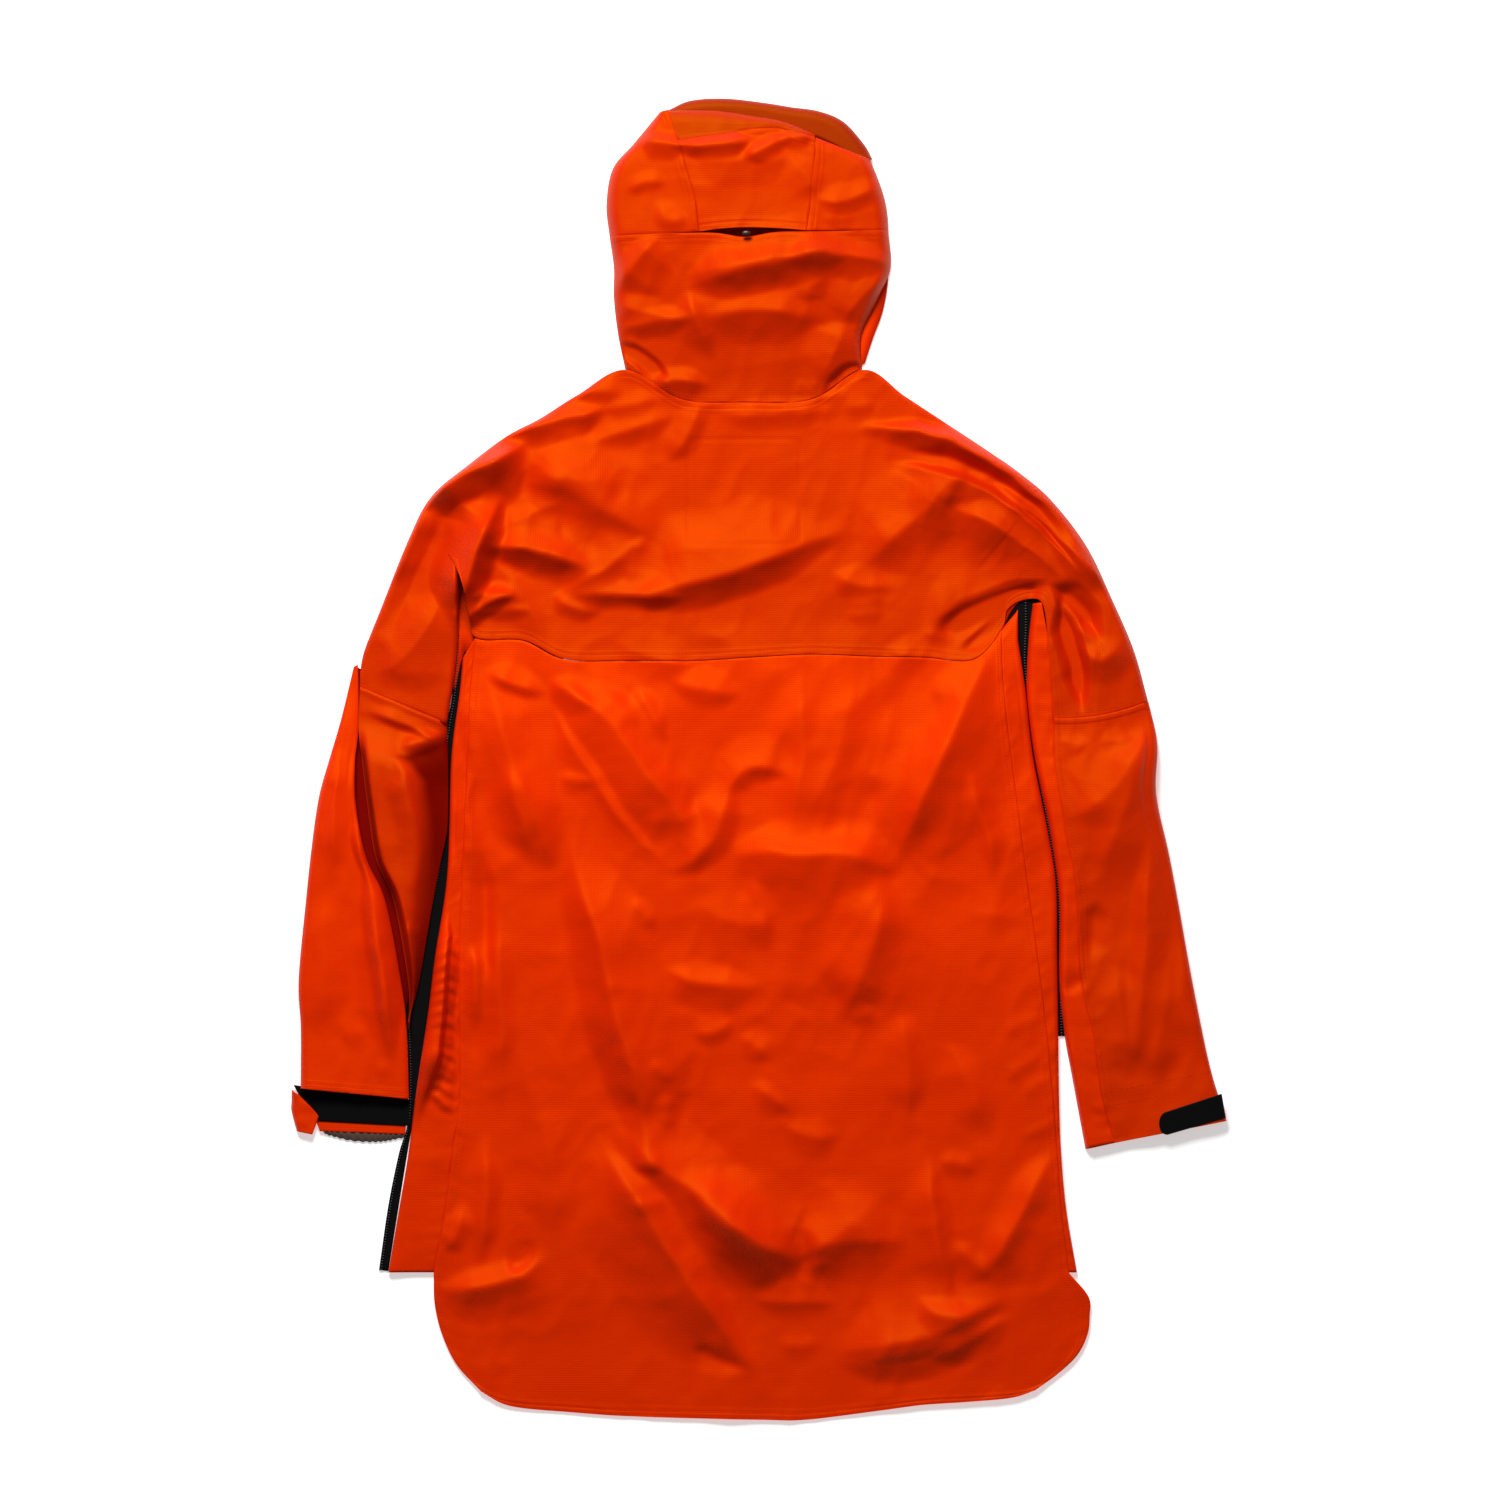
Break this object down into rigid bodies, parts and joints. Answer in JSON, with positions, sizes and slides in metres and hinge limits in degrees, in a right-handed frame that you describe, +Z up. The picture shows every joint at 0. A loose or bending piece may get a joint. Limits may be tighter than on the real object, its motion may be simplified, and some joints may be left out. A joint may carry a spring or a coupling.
{
  "type": "anorak",
  "caption": "Long pull-on rain anorak laid flat on its front, hood up and sleeves down, with a drop-tail back, an open side zip and hook-and-loop cuffs.",
  "frame": {"origin": "middle of the outline, on the surface that the coat lies on", "axes": "+Z up from the surface, +Y towards the hood, +X to the right of someone who looks down on the coat's back"},
  "size_m": [0.8883, 1.2548, 0.0421],
  "materials": {
    "shell": "matte waterproof plain weave, bright orange",
    "hook_and_loop": "black napped loop tape",
    "zip_tape": "black woven tape with a moulded coil",
    "lining": "thin grey-brown backing cloth, gathered",
    "toggle_plastic": "dark moulded plastic"
  },
  "bodies": {
    "root": {"front": "shell", "front_yoke": "shell", "back": "shell", "yoke": "shell", "sleeve_left": "shell", "undersleeve_left": "shell", "sleeve_right": "shell", "undersleeve_right": "shell", "pit_zip_right": "zip_tape", "side_zip_left": "zip_tape", "cuff_left": "shell", "cuff_band_left": "hook_and_loop", "cuff_tab_left": "shell", "cuff_lining_left": "lining", "cuff_patch_right": "hook_and_loop", "hood_centre": "shell", "hood_crown": "shell", "hood_left": "shell", "hood_right": "shell", "hood_back": "shell", "hood_brim": "shell", "hood_under": "shell", "hood_cord_lock": "toggle_plastic"}
  },
  "joints": []
}
